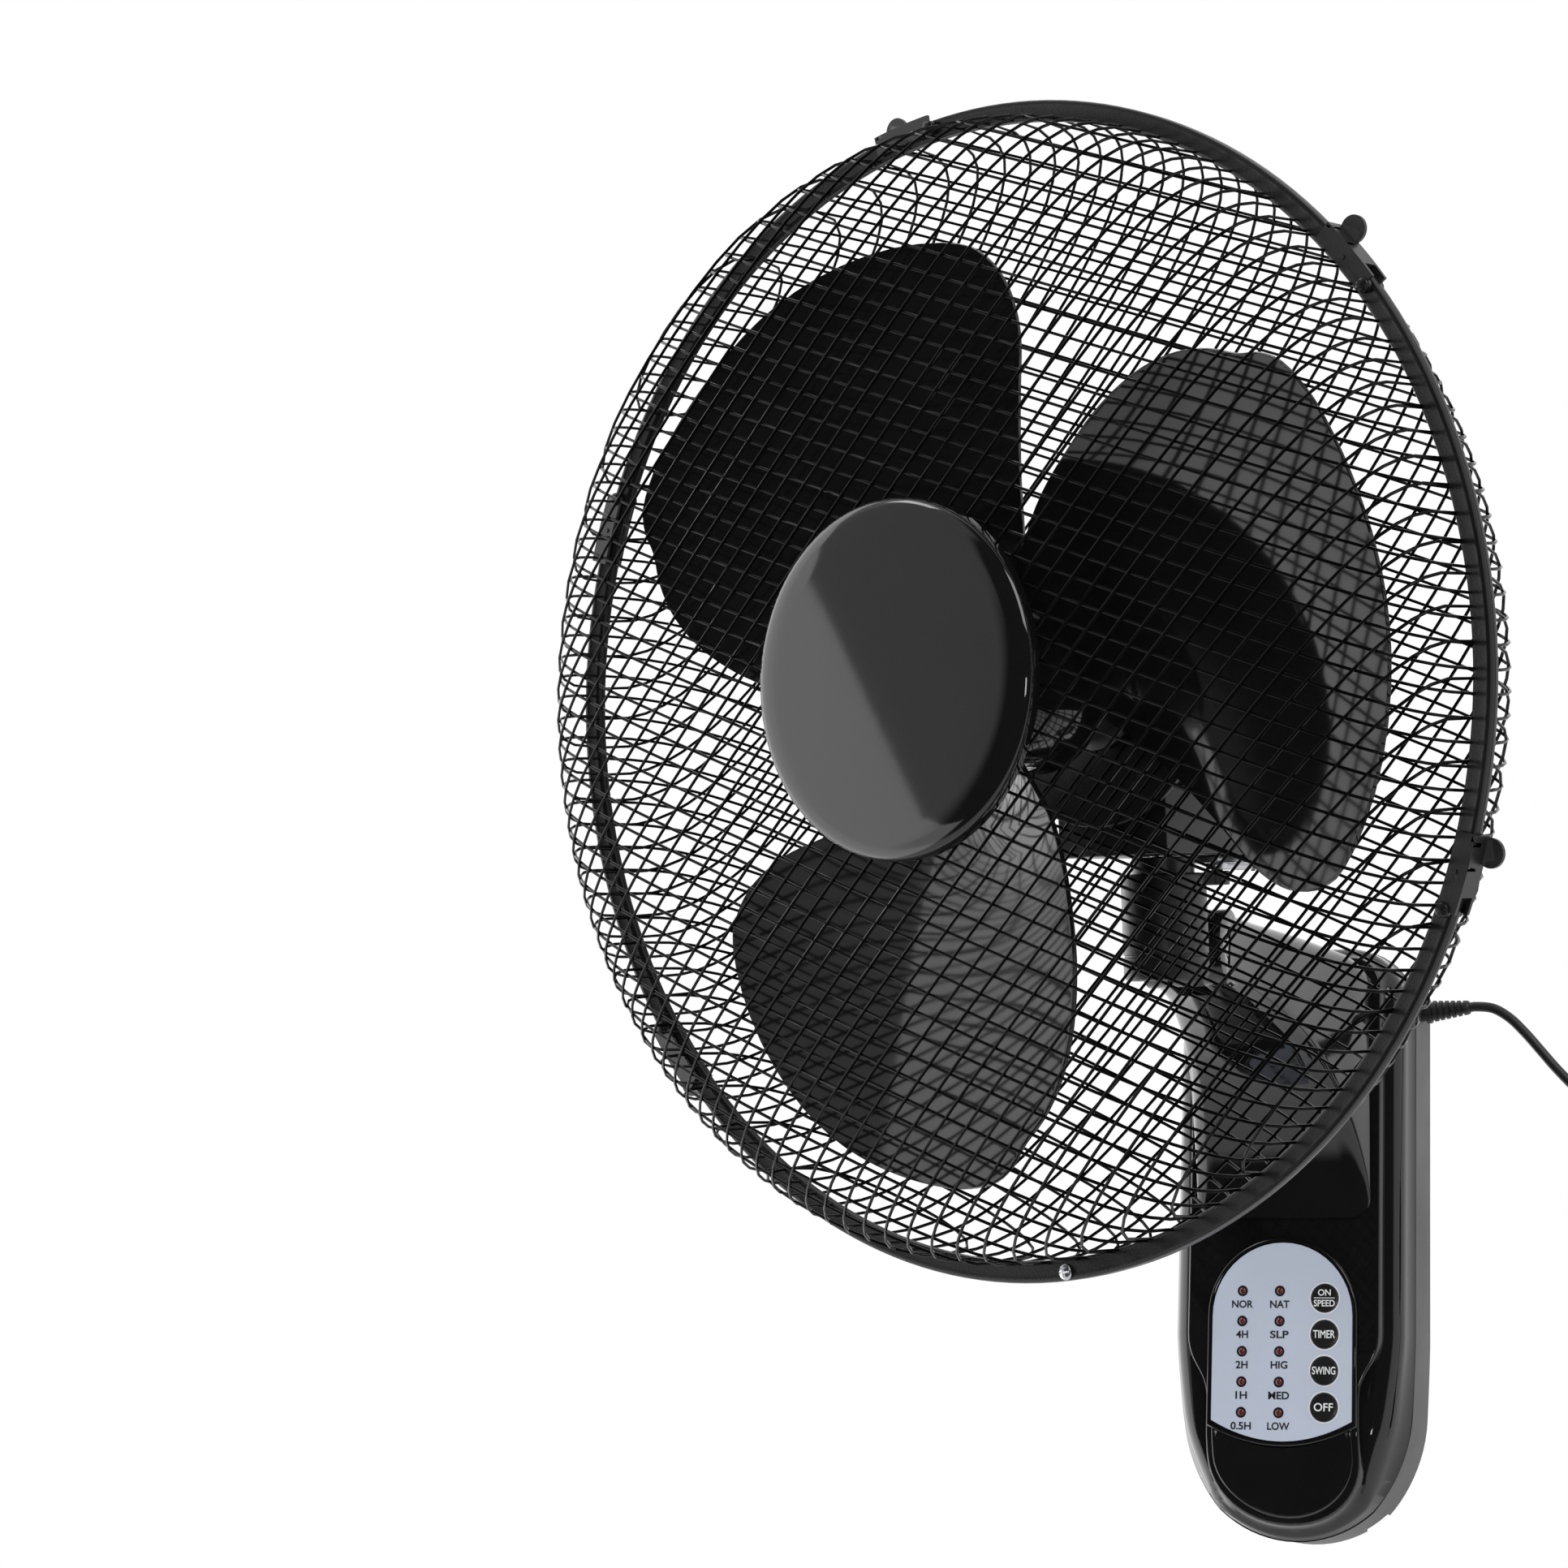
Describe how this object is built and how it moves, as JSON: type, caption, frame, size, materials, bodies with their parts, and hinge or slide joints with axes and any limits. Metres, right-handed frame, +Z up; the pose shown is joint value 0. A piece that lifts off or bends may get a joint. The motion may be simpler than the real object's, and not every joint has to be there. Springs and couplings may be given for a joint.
{
  "type": "wall fan",
  "caption": "Wall-mounted fan: a wire-caged head that tilts and swings on a curved arm, a wall base with a button panel, and a tied mains cord.",
  "frame": {"origin": "on the wall plane, at the middle of the back plate's rear face", "axes": "+Y points into the wall, -Y is the way the base faces, +Z is up, +X is to the right as seen from the room"},
  "size_m": [0.4634, 0.4676, 0.5219],
  "materials": {
    "gloss_black": "glossy, moulded",
    "blade_black": "glossy, moulded",
    "satin_black": "satin, moulded",
    "back_grey": "satin, moulded",
    "guard_black": "black coating on steel wire",
    "panel_silver": "silver-blue printed film",
    "lamp_red": "clear dark red, unlit",
    "button_black": "satin",
    "steel": "zinc plated",
    "core_steel": "stacked sheet",
    "winding_copper": "enamelled copper wire",
    "bearing_brass": "oiled",
    "board_green": "lacquered board with its parts",
    "cord_black": "matt sheath"
  },
  "bodies": {
    "base": {"back_plate": "back_grey", "front_shell": "gloss_black", "panel_bezel": "gloss_black", "panel_overlay": "panel_silver", "receiver_window": "gloss_black", "control_board": "board_green", "status_leds": "lamp_red", "run_capacitor": "satin_black", "shell_screw_1": "steel", "shell_screw_2": "steel", "shell_screw_3": "steel", "arm_screw_1": "steel", "arm_screw_2": "steel", "arm": "gloss_black", "tilt_bolt": "steel", "tilt_nut": "steel", "cord_gland": "cord_black", "cord_lead": "cord_black", "cord_coil": "cord_black", "cord_tail": "cord_black", "cord_tie": "satin_black", "mains_plug": "cord_black"},
    "neck": {"neck_housing": "satin_black", "swing_bush": "bearing_brass"},
    "link": {"crank_link": "steel"},
    "head": {"motor_front_cover": "satin_black", "motor_rear_cover": "satin_black", "stator_core": "core_steel", "front_winding": "winding_copper", "rear_winding": "winding_copper", "front_bearing": "bearing_brass", "rear_bearing": "bearing_brass", "saddle": "satin_black", "swing_pin": "steel", "swing_motor": "steel", "front_guard": "guard_black", "rear_guard": "guard_black", "guard_nut": "satin_black", "hub_plate": "gloss_black", "clip_rivet_1": "guard_black", "clip_rivet_2": "guard_black", "clip_rivet_3": "guard_black", "clip_rivet_4": "guard_black", "clip_rivet_5": "guard_black", "ring_screw": "steel", "ring_nut": "steel"},
    "crank": {"crank_disc": "steel"},
    "rotor": {"rotor_core": "core_steel", "motor_shaft": "steel", "blades": "blade_black", "spinner_nut": "gloss_black"},
    "clip_1": {"guard_clip_1": "satin_black"},
    "clip_2": {"guard_clip_2": "satin_black"},
    "clip_3": {"guard_clip_3": "satin_black"},
    "clip_4": {"guard_clip_4": "satin_black"},
    "clip_5": {"guard_clip_5": "satin_black"},
    "speed_key": {"speed_button": "button_black"},
    "timer_key": {"timer_button": "button_black"},
    "swing_key": {"swing_button": "button_black"},
    "off_key": {"off_button": "button_black"}
  },
  "joints": [
    {"name": "tilt", "type": "hinge", "parent": "base", "child": "neck", "pos_m": [0, -0.208, 0.094], "axis": [1, 0, 0], "range_deg": [-17, 18]},
    {"name": "swing", "type": "hinge", "parent": "neck", "child": "head", "pos_m": [0, -0.26198, 0.18681], "axis": [0, -0.2079, 0.9781], "range_deg": [-19, 61]},
    {"name": "link_turn", "type": "hinge", "parent": "neck", "child": "link", "pos_m": [0.01905, -0.23674, 0.12101], "axis": [0, -0.2079, 0.9781], "range_deg": [-22, 68]},
    {"name": "crank_turn", "type": "hinge", "parent": "head", "child": "crank", "pos_m": [0.01362, -0.21314, 0.12767], "axis": [0, -0.2079, 0.9781], "range_deg": [-94, 30]},
    {"name": "fan_spin", "type": "hinge", "parent": "head", "child": "rotor", "pos_m": [0, -0.26198, 0.18681], "axis": [0.3584, 0.9132, 0.1941], "continuous": true},
    {"name": "clip_1_turn", "type": "hinge", "parent": "head", "child": "clip_1", "pos_m": [0.14823, -0.40979, 0.06245], "axis": [0.3584, 0.9132, 0.1941], "range_deg": [0, 75]},
    {"name": "clip_2_turn", "type": "hinge", "parent": "head", "child": "clip_2", "pos_m": [0.12861, -0.44779, 0.27744], "axis": [0.3584, 0.9132, 0.1941], "range_deg": [0, 75]},
    {"name": "clip_3_turn", "type": "hinge", "parent": "head", "child": "clip_3", "pos_m": [-0.0576, -0.39677, 0.38122], "axis": [0.3584, 0.9132, 0.1941], "range_deg": [0, 75]},
    {"name": "clip_4_turn", "type": "hinge", "parent": "head", "child": "clip_4", "pos_m": [-0.2242, -0.30775, 0.27001], "axis": [0.3584, 0.9132, 0.1941], "range_deg": [0, 75]},
    {"name": "clip_5_turn", "type": "hinge", "parent": "head", "child": "clip_5", "pos_m": [-0.20459, -0.26975, 0.05502], "axis": [0.3584, 0.9132, 0.1941], "range_deg": [0, 75]},
    {"name": "speed_press", "type": "slide", "parent": "base", "child": "speed_key", "axis": [0, 1, 0], "range_m": [0, 0.0008], "stiffness_N_per_m": 1200},
    {"name": "timer_press", "type": "slide", "parent": "base", "child": "timer_key", "axis": [0, 1, 0], "range_m": [0, 0.0008], "stiffness_N_per_m": 1200},
    {"name": "swing_press", "type": "slide", "parent": "base", "child": "swing_key", "axis": [0, 1, 0], "range_m": [0, 0.0008], "stiffness_N_per_m": 1200},
    {"name": "off_press", "type": "slide", "parent": "base", "child": "off_key", "axis": [0, 1, 0], "range_m": [0, 0.0008], "stiffness_N_per_m": 1200}
  ],
  "couplings": [
    {"joint": "link_turn", "follows": "swing", "ratio": 1.1},
    {"joint": "crank_turn", "follows": "swing", "ratio": -1.52}
  ]
}
